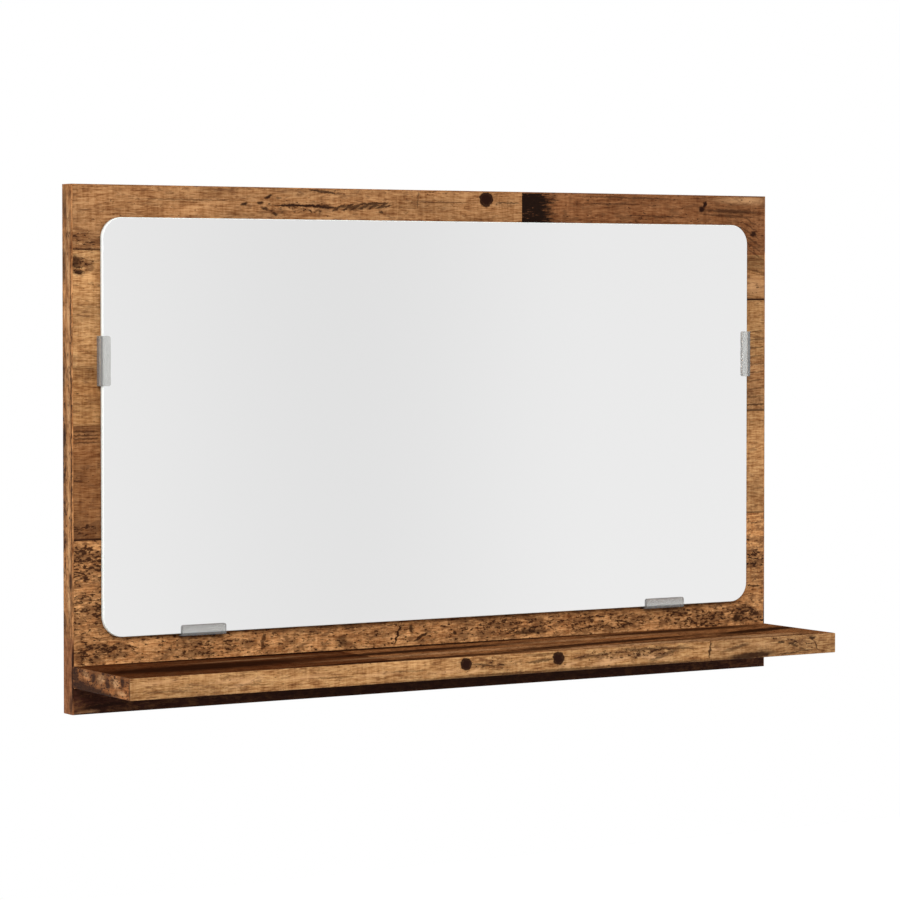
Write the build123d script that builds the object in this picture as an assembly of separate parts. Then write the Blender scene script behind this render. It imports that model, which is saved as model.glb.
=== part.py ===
from build123d import *
import os

# Wall-hung bathroom mirror: a decor-faced board with a shelf along its foot, and a
# rounded pane of mirror glass that drops into four clear clips from above.
#
# Millimetres. The origin is the centre of the board's back face, on the wall.
# +X is to the viewer's right, +Y goes into the wall and +Z is up, so the front of
# the board is at -Y.

# Board and shelf
PANEL_WIDTH = 600.0  # width of the back panel and of the shelf
PANEL_HEIGHT = 370.0
BOARD_THICKNESS = 15.0  # both boards are cut from the same sheet
SHELF_DEPTH = 90.0  # from the front of the panel to the front of the shelf
SHELF_ABOVE_FOOT = 19.0  # underside of the shelf above the panel's lower edge
BAND_THICKNESS = 1.0  # edge banding glued round the boards
EDGE_RADIUS = 0.6  # milled along every banded edge

# Mirror pane
PANE_SIDE_MARGIN = 21.5  # panel left showing beside the pane
PANE_TOP_MARGIN = 23.0
PANE_ABOVE_SHELF = 19.2
PANE_THICKNESS = 4.0
PANE_CORNER_RADIUS = 15.0
PANE_ARRIS = 0.4  # ground chamfer round both faces
FILM_THICKNESS = 0.2  # safety film on the silvered back
FILM_INSET = 1.5  # film stops short of the pane's edge

# Clear clips
CLIP_LENGTH = 35.0
CLIP_FOOT = 0.9  # thickness of the foot that is screwed to the panel behind the pane
CLIP_FOOT_REACH = 14.0
CLIP_WALL = 1.8
CLIP_LIP = 1.3
CLIP_LIP_REACH = 6.0
CLIP_EDGE_BEVEL = 0.5  # round the lip's front face
CLIP_CORNER_RADIUS = 1.5  # free corners of the lip, seen from the front
SIDE_CLIP_DROP = 123.3  # panel's top edge to the middle of a side clip
BOTTOM_CLIP_INSET = 100.0  # panel's end to the middle of a bottom clip
PANE_PLAY = 0.1  # before and behind the pane, inside a clip
PANE_SIDE_PLAY = 0.5  # beside the pane, to a side clip's wall

# Small countersunk screws, in the clips and in the hanger plates
SCREW_SHANK = 3.0
SCREW_HEAD = 5.0
SCREW_LENGTH = 10.0
CLIP_SCREW_REACH = 8.0  # from a clip's wall to the middle of its screw

# Connecting screws and dowels between panel and shelf
CONFIRMAT_SHANK = 7.0
CONFIRMAT_HEAD = 10.0
CONFIRMAT_LENGTH = 50.0
CONFIRMAT_TIP = 2.0
CONFIRMAT_INSET = 50.0  # panel's end to the outer screws
DOWEL_DIAMETER = 8.0
DOWEL_LENGTH = 30.0
DOWEL_IN_PANEL = 10.0
DOWEL_CHAMFER = 1.0
DOWEL_STEP = 32.0  # from an outer screw to the dowel beside it

# Keyhole hanger plates, let into the panel's back
PLATE_WIDTH = 46.0
PLATE_HEIGHT = 28.0
PLATE_THICKNESS = 1.0
PLATE_CORNER_RADIUS = 4.0
PLATE_SCREW_PITCH = 34.0
KEYHOLE_ENTRY = 10.0  # round hole that the wall screw's head goes through
KEYHOLE_SLOT = 5.0  # slot that its shank rises into
KEYHOLE_RISE = 9.0  # entry's centre to the slot's upper centre
HANGER_INSET = 80.0  # panel's end to the keyhole
HANGER_DROP = 45.0  # panel's top edge to the entry's centre
HEAD_POCKET = 13.0  # width of the room behind a plate for the screw's head
HEAD_POCKET_DEPTH = 8.0  # from the panel's back face

# Clearances round what is let into the boards
DRILL_FIT = 0.05  # radial, round screws and dowels
DRILL_END = 0.5  # beyond the end of a screw or dowel
PLATE_FIT = 0.2  # round a hanger plate

panel_left, panel_right = -PANEL_WIDTH / 2, PANEL_WIDTH / 2
panel_top, panel_foot = PANEL_HEIGHT / 2, -PANEL_HEIGHT / 2
panel_front = -BOARD_THICKNESS
shelf_underside = panel_foot + SHELF_ABOVE_FOOT
shelf_middle = shelf_underside + BOARD_THICKNESS / 2
shelf_top = shelf_underside + BOARD_THICKNESS
shelf_front = panel_front - SHELF_DEPTH

pane_width = PANEL_WIDTH - 2 * PANE_SIDE_MARGIN
pane_foot = shelf_top + PANE_ABOVE_SHELF
pane_top = panel_top - PANE_TOP_MARGIN
film_back = panel_front - CLIP_FOOT - PANE_PLAY
glass_back = film_back - FILM_THICKNESS
glass_front = glass_back - PANE_THICKNESS
side_clip_height = panel_top - SIDE_CLIP_DROP
hanger_height = panel_top - HANGER_DROP
hanger_places = [panel_left + HANGER_INSET, panel_right - HANGER_INSET]
confirmat_places = [panel_left + CONFIRMAT_INSET, 0.0, panel_right - CONFIRMAT_INSET]
dowel_places = [confirmat_places[0] + DOWEL_STEP, confirmat_places[-1] - DOWEL_STEP]
keyhole_middle = (KEYHOLE_RISE + KEYHOLE_SLOT / 2 - KEYHOLE_ENTRY / 2) / 2  # above the entry


def slab(x0, x1, y0, y1, z0, z1):
    """A plain block between two corners."""
    middle = Pos((x0 + x1) / 2, (y0 + y1) / 2, (z0 + z1) / 2)
    return middle * Box(x1 - x0, y1 - y0, z1 - z0)


def turned(points):
    """A solid turned about the Y axis from (radius, y) points."""
    return revolve(make_face(Polyline(*points, close=True)), axis=Axis.Y)


def screw(shank, head, length, tip=0.0):
    """A countersunk screw along -Y with its head's top at the origin, pointed over its tip."""
    r, cone = shank / 2, (head - shank) / 2
    return turned([(0, 0), (head / 2, 0), (r, -cone), (r, tip - length), (0, -length)])


def screw_hole(shank, head, length):
    """The countersunk hole drilled for a screw, flat at its end."""
    r, cone, end = shank / 2 + DRILL_FIT, (head - shank) / 2, length + DRILL_END
    return turned([(0, 0), (head / 2 + DRILL_FIT, 0), (r, -cone), (r, -end), (0, -end)])


def small_screw():
    """One of the screws in the clips and hanger plates."""
    return screw(SCREW_SHANK, SCREW_HEAD, SCREW_LENGTH)


def small_screw_hole():
    return screw_hole(SCREW_SHANK, SCREW_HEAD, SCREW_LENGTH)


def dowel():
    """A dowel along Y that crosses from the panel into the shelf, chamfered at both ends."""
    r, back = DOWEL_DIAMETER / 2, panel_front + DOWEL_IN_PANEL
    front, nose = back - DOWEL_LENGTH, DOWEL_CHAMFER
    profile = [(0, back), (r - nose, back), (r, back - nose)]
    return turned(profile + [(r, front + nose), (r - nose, front), (0, front)])


def dowel_hole():
    r, back = DOWEL_DIAMETER / 2 + DRILL_FIT, panel_front + DOWEL_IN_PANEL + DRILL_END
    front = back - DOWEL_LENGTH - 2 * DRILL_END
    return turned([(0, back), (r, back), (r, front), (0, front)])


def keyhole(entry, slot):
    """The keyhole's outline with its entry at the origin and its slot upwards."""
    rise = Pos(0, KEYHOLE_RISE / 2) * Rectangle(slot, KEYHOLE_RISE)
    return Circle(entry / 2) + rise + Pos(0, KEYHOLE_RISE) * Circle(slot / 2)


def plate_outline(fit=0.0):
    """The hanger plate's outline, with the keyhole at the middle of its height."""
    width, height = PLATE_WIDTH + 2 * fit, PLATE_HEIGHT + 2 * fit
    return Pos(0, keyhole_middle) * RectangleRounded(width, height, PLATE_CORNER_RADIUS + fit)


def plate_screw_places():
    """Places of a hanger plate's two screws from its keyhole's entry."""
    return [Pos(side * PLATE_SCREW_PITCH / 2, 0, keyhole_middle) for side in (-1, 1)]


def hanger_plate():
    """A steel plate flush with the back face, keyhole entry at the origin."""
    outline = plate_outline() - keyhole(KEYHOLE_ENTRY, KEYHOLE_SLOT)
    plate = extrude(Plane.XZ * outline, PLATE_THICKNESS)
    for place in plate_screw_places():
        plate -= place * small_screw_hole()
    return plate


def hanger_pocket():
    """What is taken out of the panel for a hanger plate, its screws and a wall screw's head."""
    recess = extrude(Plane.XZ * plate_outline(PLATE_FIT), PLATE_THICKNESS)
    room = extrude(Plane.XZ * keyhole(HEAD_POCKET, HEAD_POCKET), HEAD_POCKET_DEPTH)
    return [recess, room] + [place * small_screw_hole() for place in plate_screw_places()]


def clip_lip(back):
    """The clip's lip, from its wall's outer face to its reach, round at its free corners."""
    outline = Pos(0, (CLIP_LIP_REACH - CLIP_WALL) / 2) * Rectangle(CLIP_LENGTH, CLIP_LIP_REACH + CLIP_WALL)
    outline = fillet(outline.vertices().sort_by(Axis.Y)[-2:], CLIP_CORNER_RADIUS)
    return extrude(Plane.XZ.offset(-back) * outline, CLIP_LIP)


def mirror_clip():
    """A moulded clear clip: foot, wall and lip in one C section, bevelled in front.

    Its own frame has the panel's face at y = 0, the wall's inner face at z = 0 and
    the pane towards +z, with the clip's length along x.
    """
    lip_back = glass_front - PANE_PLAY - panel_front
    left, right = -CLIP_LENGTH / 2, CLIP_LENGTH / 2
    foot = slab(left, right, -CLIP_FOOT, 0, -CLIP_WALL, CLIP_FOOT_REACH)
    wall = slab(left, right, lip_back, -CLIP_FOOT, -CLIP_WALL, 0)
    clip = foot + wall + clip_lip(lip_back)
    clip = chamfer(clip.faces().sort_by(Axis.Y)[0].edges(), CLIP_EDGE_BEVEL)
    return clip - CLIP_SCREW_PLACE * small_screw_hole()


# A clip's screw stands in its foot with its head to the front. Each clip's own frame
# stands with the wall's inner face at the pane's edge.
CLIP_SCREW_PLACE = Pos(0, -CLIP_FOOT, CLIP_SCREW_REACH) * Rot(0, 0, 180)
side_reach = pane_width / 2 + PANE_SIDE_PLAY
bottom_reach = panel_right - BOTTOM_CLIP_INSET
CLIP_PLACES = {
    "mirror_clip_left": Pos(-side_reach, panel_front, side_clip_height) * Rot(0, 90, 0),
    "mirror_clip_right": Pos(side_reach, panel_front, side_clip_height) * Rot(0, -90, 0),
    "mirror_clip_bottom_left": Pos(-bottom_reach, panel_front, pane_foot),
    "mirror_clip_bottom_right": Pos(bottom_reach, panel_front, pane_foot),
}


def shelf_joint_holes():
    """The holes that run from the panel into the shelf for its screws and dowels."""
    drilled = screw_hole(CONFIRMAT_SHANK, CONFIRMAT_HEAD, CONFIRMAT_LENGTH)
    screws = [Pos(x, 0, shelf_middle) * drilled for x in confirmat_places]
    return screws + [Pos(x, 0, shelf_middle) * dowel_hole() for x in dowel_places]


def back_panel_and_bands():
    """The panel's board and the four strips of edge banding round it."""
    block = slab(panel_left, panel_right, panel_front, 0, panel_foot, panel_top)
    block = fillet(block.edges() - block.edges().filter_by(Axis.Y), EDGE_RADIUS)
    left, right = panel_left + BAND_THICKNESS, panel_right - BAND_THICKNESS
    foot, top = panel_foot + BAND_THICKNESS, panel_top - BAND_THICKNESS
    board = slab(left, right, panel_front, 0, foot, top)
    for x in hanger_places:
        for tool in hanger_pocket():
            board -= Pos(x, 0, hanger_height) * tool
    for place in CLIP_PLACES.values():
        board -= place * CLIP_SCREW_PLACE * small_screw_hole()
    for hole in shelf_joint_holes():
        board -= hole
    return {
        "back_panel": board,
        "panel_band_left": block & slab(panel_left, left, panel_front, 0, panel_foot, panel_top),
        "panel_band_right": block & slab(right, panel_right, panel_front, 0, panel_foot, panel_top),
        "panel_band_top": block & slab(left, right, panel_front, 0, top, panel_top),
        "panel_band_bottom": block & slab(left, right, panel_front, 0, panel_foot, foot),
    }


def shelf_and_bands():
    """The shelf's board and the banding on its front and ends. Its raw back edge meets the panel."""
    block = slab(panel_left, panel_right, shelf_front, panel_front, shelf_underside, shelf_top)
    raw_edge = block.faces().sort_by(Axis.Y)[-1].edges()
    block = fillet(block.edges() - raw_edge - block.edges().filter_by(Axis.Z), EDGE_RADIUS)
    left, right = panel_left + BAND_THICKNESS, panel_right - BAND_THICKNESS
    front, height = shelf_front + BAND_THICKNESS, (shelf_underside, shelf_top)
    board = slab(left, right, front, panel_front, *height)
    for hole in shelf_joint_holes():
        board -= hole
    return {
        "shelf_board": board,
        "shelf_band_front": block & slab(panel_left, panel_right, shelf_front, front, *height),
        "shelf_band_left": block & slab(panel_left, left, front, panel_front, *height),
        "shelf_band_right": block & slab(right, panel_right, front, panel_front, *height),
    }


def mirror_pane():
    """The mirror glass with its ground arris, and the safety film on its back."""
    height = pane_top - pane_foot
    middle = Pos(0, (pane_top + pane_foot) / 2)
    outline = middle * RectangleRounded(pane_width, height, PANE_CORNER_RADIUS)
    glass = extrude(Plane.XZ.offset(-glass_back) * outline, PANE_THICKNESS)
    rims = [glass.faces().sort_by(Axis.Y)[end].edges() for end in (0, -1)]
    glass = chamfer(rims[0] + rims[1], PANE_ARRIS)
    inset = 2 * FILM_INSET
    film_outline = middle * RectangleRounded(
        pane_width - inset, height - inset, PANE_CORNER_RADIUS - FILM_INSET
    )
    film = extrude(Plane.XZ.offset(-film_back) * film_outline, FILM_THICKNESS)
    return {"mirror_glass": glass, "mirror_safety_film": film}


def fasteners():
    """Every screw and dowel, each kind as one group of separate solids."""
    return {
        "clip_screws": [
            place * CLIP_SCREW_PLACE * small_screw() for place in CLIP_PLACES.values()
        ],
        "hanger_screws": [
            Pos(x, 0, hanger_height) * place * small_screw()
            for x in hanger_places
            for place in plate_screw_places()
        ],
        "shelf_screws": [
            Pos(x, 0, shelf_middle)
            * screw(CONFIRMAT_SHANK, CONFIRMAT_HEAD, CONFIRMAT_LENGTH, CONFIRMAT_TIP)
            for x in confirmat_places
        ],
        "shelf_dowels": [Pos(x, 0, shelf_middle) * dowel() for x in dowel_places],
    }


def write_nodes(nodes):
    """One STEP file per node, holding its solids."""
    os.makedirs("parts", exist_ok=True)
    for name, shapes in nodes.items():
        shapes = shapes if isinstance(shapes, list) else [shapes]
        solids = [solid for shape in shapes for solid in shape.solids()]
        export_step(solids[0] if len(solids) == 1 else Compound(children=solids), f"parts/{name}.step")


nodes = back_panel_and_bands() | shelf_and_bands() | mirror_pane() | fasteners()
for name, place in CLIP_PLACES.items():
    nodes[name] = place * mirror_clip()
for side, x in zip(("left", "right"), hanger_places):
    nodes[f"hanger_plate_{side}"] = Pos(x, 0, hanger_height) * hanger_plate()
write_nodes(nodes)
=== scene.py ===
"""Looks of a wall-hung bathroom mirror with a shelf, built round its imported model.

Everything is in metres in the model's own frame: the origin is the centre of the board's
back face, +X runs to the right along the shelf, +Y goes into the wall and +Z is up.
Sizes that describe the printed decor are in real millimetres and say so in their names.
"""

import logging
import math
from collections.abc import Iterable, Sequence
from dataclasses import dataclass, replace
from enum import Enum

import bmesh
import bpy
import numpy as np
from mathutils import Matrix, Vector


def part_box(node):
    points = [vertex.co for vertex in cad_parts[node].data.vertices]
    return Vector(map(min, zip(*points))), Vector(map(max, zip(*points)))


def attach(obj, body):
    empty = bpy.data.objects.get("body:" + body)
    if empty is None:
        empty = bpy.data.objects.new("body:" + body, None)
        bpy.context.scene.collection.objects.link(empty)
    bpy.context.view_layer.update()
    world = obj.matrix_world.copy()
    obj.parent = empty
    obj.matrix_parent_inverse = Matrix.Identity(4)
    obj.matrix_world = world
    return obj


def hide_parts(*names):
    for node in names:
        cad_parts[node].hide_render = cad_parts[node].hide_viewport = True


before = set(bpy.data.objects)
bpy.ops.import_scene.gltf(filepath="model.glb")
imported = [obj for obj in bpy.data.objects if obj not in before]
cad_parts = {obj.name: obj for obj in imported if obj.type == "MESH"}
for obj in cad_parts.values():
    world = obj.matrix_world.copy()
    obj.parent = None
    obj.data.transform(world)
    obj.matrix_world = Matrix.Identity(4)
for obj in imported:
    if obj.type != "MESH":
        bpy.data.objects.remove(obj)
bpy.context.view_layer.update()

log = logging.getLogger("bathroom_mirror")

MM = 0.001  # one millimetre, in the frame's metres
PER_METRE = 1000.0  # millimetres in a metre

# Sizes of the boards and of their print, in millimetres
BOARD = 15.0  # thickness of both boards
SEAM = (1.0, 2.1)  # a seam is full up to the first height over its row's foot, gone at the second
WANDER = (5.0, 2.4, 0.0)  # how far the outlines of marks wander along and across the grain
MARK_REACH = 8.0  # how far a mark reaches off its own face, short of the board's other face
SCORCH_RAG = 46.0  # how far the ragged end of the scorched patch comes and goes
SCORCH_FADE = (-6.0, 4.0)  # where that end starts to show and is full
FIBRE_SPREAD = 0.125  # how far the fibres' noise strays from its middle

# Sockets of Blender's Mix node when it mixes colours
FACTOR, COLOUR_A, COLOUR_B, COLOUR_OUT = 0, 6, 7, 2

Tree, Socket = bpy.types.NodeTree, bpy.types.NodeSocket
Material, Piece = bpy.types.Material, bpy.types.Object


# Colours and nodes


def linear(code: str) -> tuple[float, float, float, float]:
    """Turns an sRGB hex code into the linear colour that a socket takes.

    Args:
        code: six hex digits after a hash.

    Returns:
        Red, green, blue and a full alpha, linear.
    """
    parts = [int(code[place:place + 2], 16) / 255 for place in (1, 3, 5)]
    bent = [part / 12.92 if part <= 0.04045 else ((part + 0.055) / 1.055) ** 2.4 for part in parts]
    return (*bent, 1.0)


def add_node(tree: Tree, kind: str, inputs: dict | None = None, **settings) -> bpy.types.Node:
    """Adds a node, sets it up and feeds its inputs.

    Args:
        tree: the node tree of a material or of the world.
        kind: Blender's name of the node, without its leading ShaderNode.
        inputs: by socket name or number, a plain value or the output socket that feeds it.
        settings: the node's own options, such as operation.

    Returns:
        The new node.
    """
    node = tree.nodes.new("ShaderNode" + kind)
    for name, value in settings.items():
        setattr(node, name, value)
    for socket, value in (inputs or {}).items():
        if isinstance(value, Socket):
            tree.links.new(value, node.inputs[socket])
        else:
            node.inputs[socket].default_value = value
    return node


def fill_ramp(ramp: bpy.types.Node, stops: Sequence[tuple[float, str]],
              smooth: bool = False) -> None:
    """Gives a Color Ramp node its stops.

    Args:
        ramp: the node.
        stops: places from 0 to 1, each with its hex colour.
        smooth: eases between the stops instead of running straight.
    """
    band = ramp.color_ramp
    band.interpolation = "EASE" if smooth else "LINEAR"
    while len(band.elements) < len(stops):
        band.elements.new(1.0)
    for element, (place, code) in zip(band.elements, stops):
        element.position = place
        element.color = linear(code)


def new_material(name: str) -> tuple[Material, Tree]:
    """Makes an empty node material and returns it with its tree."""
    material = bpy.data.materials.new(name)
    material.use_nodes = True
    material.node_tree.nodes.clear()
    return material, material.node_tree


def finish_surface(tree: Tree, shader: bpy.types.Node) -> None:
    """Leads a shader to the material's output."""
    add_node(tree, "OutputMaterial", {"Surface": shader.outputs[0]})


# Printed wood decor


class Grain(Enum):
    """Which object axes run along the print's fibres, across them and out of the face."""

    FRONT = ("X", "Z", "Y")
    TOP = ("X", "Y", "Z")
    UPRIGHT = ("Z", "Y", "X")
    TO_WALL = ("Y", "Z", "X")


class MarkKind(Enum):
    """What kind a mark is, in the print or as painted shade. The value is where its edge starts and
    ends, from its middle.
    """

    KNOT = (1.0, 0.8)
    CRACK = (1.0, 0.6)
    STAIN = (1.0, 0.5)
    FLECKED = (1.0, 0.4)
    PALE = (1.0, 0.2)

    def at(self, *sizes: float) -> "Mark":
        """A mark of this kind, from its sizes in the order of Mark's fields."""
        return Mark(self, *sizes)


@dataclass(frozen=True)
class Mark:
    """One mark in the print, or a patch of painted shade, as an ellipse on the face, in
    millimetres.

    Attributes:
        kind: what it is.
        along: its middle along the grain.
        across: its middle across the grain.
        length: its full length.
        width: its full width.
        slant: its turn from the grain, in degrees, positive when it rises.
        depth: how strongly it shows, from 0 to 1.
    """

    kind: MarkKind
    along: float
    across: float
    length: float
    width: float
    slant: float = 0.0
    depth: float = 1.0


def dashes(first: Mark, step: tuple[float, float], count: int) -> tuple[Mark, ...]:
    """Repeats a mark at a steady step.

    Args:
        first: the mark that starts the row.
        step: how far each next one lies along and across the grain, in millimetres.
        count: how many there are.

    Returns:
        The marks, the first one included.
    """
    return tuple(
        replace(first, along=first.along + i * step[0], across=first.across + i * step[1])
        for i in range(count)
    )


@dataclass(frozen=True)
class Plank:
    """One printed plank.

    Attributes:
        colour: its middle tone.
        flecks: how thickly dark flecks lie on it, from 0 to 1.
        shift: how far its grain is moved along, in millimetres, so that planks differ.
    """

    colour: str
    flecks: float = 0.0
    shift: float = 0.0

    def tone(self) -> np.ndarray:
        """Its colour as linear red, green and blue."""
        return np.array(linear(self.colour)[:3])

    def rest(self, foot: float) -> np.ndarray:
        """Its flecks, its shift and the foot that it stands on."""
        return np.array([self.flecks, self.shift, foot])


@dataclass(frozen=True)
class PlankRow:
    """A row of two planks that meet end to end.

    Attributes:
        foot: the row's lower edge across the grain, in millimetres.
        joint: where its two planks meet, along the grain.
        left: the plank before the joint.
        right: the plank after it.
        seams: how dark the seam is at the foot of the left and of the right plank.
    """

    foot: float
    joint: float
    left: Plank
    right: Plank
    seams: tuple[float, float] = (0.0, 0.0)

    def ends(self) -> np.ndarray:
        """Its joint and its two seams."""
        return np.array([self.joint, *self.seams])


@dataclass(frozen=True)
class ReclaimedDecor:
    """Decor paper printed as reclaimed wood, pressed on chipboard with melamine resin.

    The eye gets a satin, nearly flat surface whose fibres, seams and knots are all print,
    with a shallow embossing that follows the fibres.

    Attributes:
        name: the material's name.
        grain: how the print lies on the piece.
        rows: the rows of planks, from the lowest upwards.
        marks: single knots, cracks and stains, and on some pieces patches of painted shade.
        face: where the marked face stands along the third grain axis, in millimetres.
        contrast: strength of the fibres' light and dark.
        gloss: strength of its specular reflection.
        char: where a scorched patch starts and ends along the grain, and from which foot up.
        core: what lies inside the piece, and between which limits along the third axis.
    """

    name: str
    grain: Grain
    rows: tuple[PlankRow, ...]
    marks: tuple[Mark, ...] = ()
    face: float = 0.0
    contrast: float = 1.0
    gloss: float = 0.06
    char: tuple[float, float, float] | None = None
    core: tuple[float, float] | None = None

    def material(self) -> Material:
        """Builds the decor's material.

        Returns:
            The material.
        """
        material, tree = new_material(self.name)
        at = self.place(tree)
        planks = self.planks(tree, at)
        fibres, broad, strokes = self.fibres(tree, planks["pattern"])
        dark, pale, flecked = self.marked(tree, at)
        flecks, smudges = self.flecks(tree, planks["pattern"], planks["flecks"], flecked)
        colour = self.coloured(tree, planks, fibres, broad, pale)
        # The dark marks' colour also paints the patches of painted shade that some pieces' marks
        # carry
        for mask, code in (
            (strokes, "#5B3B26"), (smudges, "#5E3D25"), (flecks, "#2E170B"),
            (planks["lines"], "#2B150A"), (dark, "#200D06"),
        ):
            colour = add_node(tree, "Mix", {
                FACTOR: mask, COLOUR_A: colour, COLOUR_B: linear(code),
            }, data_type="RGBA").outputs[COLOUR_OUT]
        if self.char:
            colour = self.scorched(tree, at, planks["beyond"], colour)
        if self.core:
            colour = self.cored(tree, at, colour)
        bump = add_node(tree, "Bump", {"Strength": 0.35, "Distance": 0.15 * MM, "Height": fibres})
        rough = add_node(
            tree, "MapRange", {"Value": fibres, "To Min": 0.68, "To Max": 0.56}
        ).outputs[0]
        shader = add_node(tree, "BsdfPrincipled", {
            "Base Color": colour,
            "Roughness": rough,
            "Normal": bump.outputs[0],
            "Specular IOR Level": self.gloss,
        })
        finish_surface(tree, shader)
        return material

    def place(self, tree: Tree) -> Socket:
        """Gives the place in millimetres along the grain, across it and out of the face."""
        spot = add_node(tree, "TexCoord").outputs["Object"]
        apart = add_node(tree, "SeparateXYZ", {0: spot})
        along, across, out = (apart.outputs[axis] for axis in self.grain.value)
        turned = add_node(tree, "CombineXYZ", {0: along, 1: across, 2: out}).outputs[0]
        return add_node(
            tree, "VectorMath", {0: turned, 1: (PER_METRE,) * 3}, operation="MULTIPLY"
        ).outputs[0]

    def planks(self, tree: Tree, at: Socket) -> dict:
        """Lays the rows of planks.

        Every property of a plank is a sum over the rows below: it starts at the lowest
        row's value, and each row's foot adds the step to its own.

        Args:
            tree: the material's tree.
            at: the place in millimetres.

        Returns:
            Sockets: colour, flecks, lines (the seams), beyond (the way past the joint)
            and pattern, the place with each plank's own shift added.
        """
        apart = add_node(tree, "SeparateXYZ", {0: at})
        along, across = apart.outputs[0], apart.outputs[1]
        lowest = self.rows[0]
        sums: dict[tuple, object] = {
            ("left", "colour"): lowest.left.tone(),
            ("right", "colour"): lowest.right.tone(),
            ("left", "rest"): lowest.left.rest(lowest.foot),
            ("right", "rest"): lowest.right.rest(lowest.foot),
            ("both", "ends"): lowest.ends(),
        }
        for below, row in zip(self.rows, self.rows[1:]):
            above = add_node(tree, "Math", {0: across, 1: row.foot},
                             operation="GREATER_THAN").outputs[0]
            steps = {("both", "ends"): row.ends() - below.ends()}
            for side in ("left", "right"):
                old, new = getattr(below, side), getattr(row, side)
                if new is not old:
                    steps[side, "colour"] = new.tone() - old.tone()
                    steps[side, "rest"] = new.rest(row.foot) - old.rest(self.foot_of(side, below))
            for key, step in steps.items():
                if np.abs(step).max() > 0:
                    sums[key] = add_node(
                        tree, "VectorMath", {0: above, 1: step, 2: sums[key]},
                        operation="MULTIPLY_ADD"
                    ).outputs[0]
        joint = add_node(tree, "SeparateXYZ", {0: sums["both", "ends"]})
        beyond = add_node(tree, "Math", {0: along, 1: joint.outputs[0]},
                          operation="SUBTRACT").outputs[0]
        side = add_node(tree, "Math", {0: beyond, 1: 0.0}, operation="GREATER_THAN").outputs[0]
        seam = add_node(tree, "Mix", {0: side, 2: joint.outputs[1], 3: joint.outputs[2]}).outputs[0]
        colour, rest = (
            add_node(
                tree, "Mix", {0: side, 4: sums["left", key], 5: sums["right", key]},
                data_type="VECTOR"
            ).outputs[1]
            for key in ("colour", "rest")
        )
        rest = add_node(tree, "SeparateXYZ", {0: rest})
        rise = add_node(tree, "Math", {0: across, 1: rest.outputs[2]},
                        operation="SUBTRACT").outputs[0]
        lines = add_node(tree, "MapRange", {
            "Value": rise, "From Min": SEAM[0], "From Max": SEAM[1], "To Min": 1.0, "To Max": 0.0,
        }).outputs[0]
        lines = add_node(tree, "Math", {0: lines, 1: seam}, operation="MULTIPLY").outputs[0]
        shift = add_node(tree, "CombineXYZ", {0: rest.outputs[1], 1: rest.outputs[1]}).outputs[0]
        pattern = add_node(tree, "VectorMath", {0: at, 1: shift}, operation="ADD").outputs[0]
        return {"colour": colour, "flecks": rest.outputs[0], "lines": lines, "pattern": pattern,
                "beyond": beyond}

    def foot_of(self, side: str, row: PlankRow) -> float:
        """Foot of the lowest row that the plank of this side and row reaches down to."""
        plank = getattr(row, side)
        return min(other.foot for other in self.rows if getattr(other, side) is plank)

    def fibre_noise(self, tree: Tree, at: Socket, length: float, width: float,
                    detail: float = 3.0, roughness: float = 0.6) -> Socket:
        """Noise drawn out along the grain.

        Args:
            tree: the material's tree.
            at: the place in millimetres.
            length: how long its streaks are, in millimetres.
            width: how wide they are.
            detail: how many finer layers it has.
            roughness: how strong those are.

        Returns:
            The noise, from 0 to 1.
        """
        drawn = add_node(tree, "VectorMath", {0: at, 1: (1 / length, 1 / width, 1 / width)},
                         operation="MULTIPLY")
        return add_node(tree, "TexNoise", {
            "Vector": drawn.outputs[0], "Scale": 1.0, "Detail": detail, "Roughness": roughness,
        }).outputs[0]

    def fibres(self, tree: Tree, at: Socket) -> tuple:
        """Draws the fibres: hairs, strands, rough-sawn bands across them and small blots.

        Args:
            tree: the material's tree.
            at: the place with each plank's shift, in millimetres.

        Returns:
            The fibres' tone, round 0.5, the clouds' tone and the mask of short dark dashes.
        """
        sway = self.fibre_noise(tree, at, 80.0, 26.0, 1.0)
        sway = add_node(tree, "MapRange", {"Value": sway, "To Min": -3.0, "To Max": 3.0}).outputs[0]
        sway = add_node(tree, "CombineXYZ", {1: sway}).outputs[0]
        bent = add_node(tree, "VectorMath", {0: at, 1: sway}, operation="ADD").outputs[0]
        tone: object = 0.0
        # Place, length and width in millimetres, and share: hairs, strands, blots, saw marks
        for place, length, width, share in (
            (bent, 7.0, 0.8, 0.40), (bent, 32.0, 2.2, 0.25),
            (bent, 12.0, 6.0, 0.19), (at, 2.2, 22.0, 0.16),
        ):
            layer = self.fibre_noise(tree, place, length, width, 3.0, 0.65)
            tone = add_node(tree, "Math", {0: layer, 1: share, 2: tone},
                            operation="MULTIPLY_ADD").outputs[0]
        broad = self.fibre_noise(tree, bent, 60.0, 20.0, 2.0)
        strokes = self.fibre_noise(tree, bent, 8.0, 1.1, 2.0, 0.6)
        strokes = add_node(tree, "Math", {0: broad, 1: -0.35, 2: strokes},
                           operation="MULTIPLY_ADD").outputs[0]
        strokes = add_node(
            tree, "MapRange", {"Value": strokes, "From Min": 0.43, "From Max": 0.55, "To Max": 0.75}
        ).outputs[0]
        return tone, broad, strokes

    def flecks(self, tree: Tree, at: Socket, density: Socket,
               fields: Socket) -> tuple:
        """Draws small dark flecks and wider brown smudges.

        Each shows where its noise plus the density passes a limit.

        Args:
            tree: the material's tree.
            at: the place with each plank's shift, in millimetres.
            density: the plank's own density.
            fields: the density of the flecked fields.

        Returns:
            Masks of the flecks and of the smudges.
        """
        thick = add_node(tree, "Math", {0: density, 1: fields}, operation="MAXIMUM").outputs[0]
        masks = []
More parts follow.
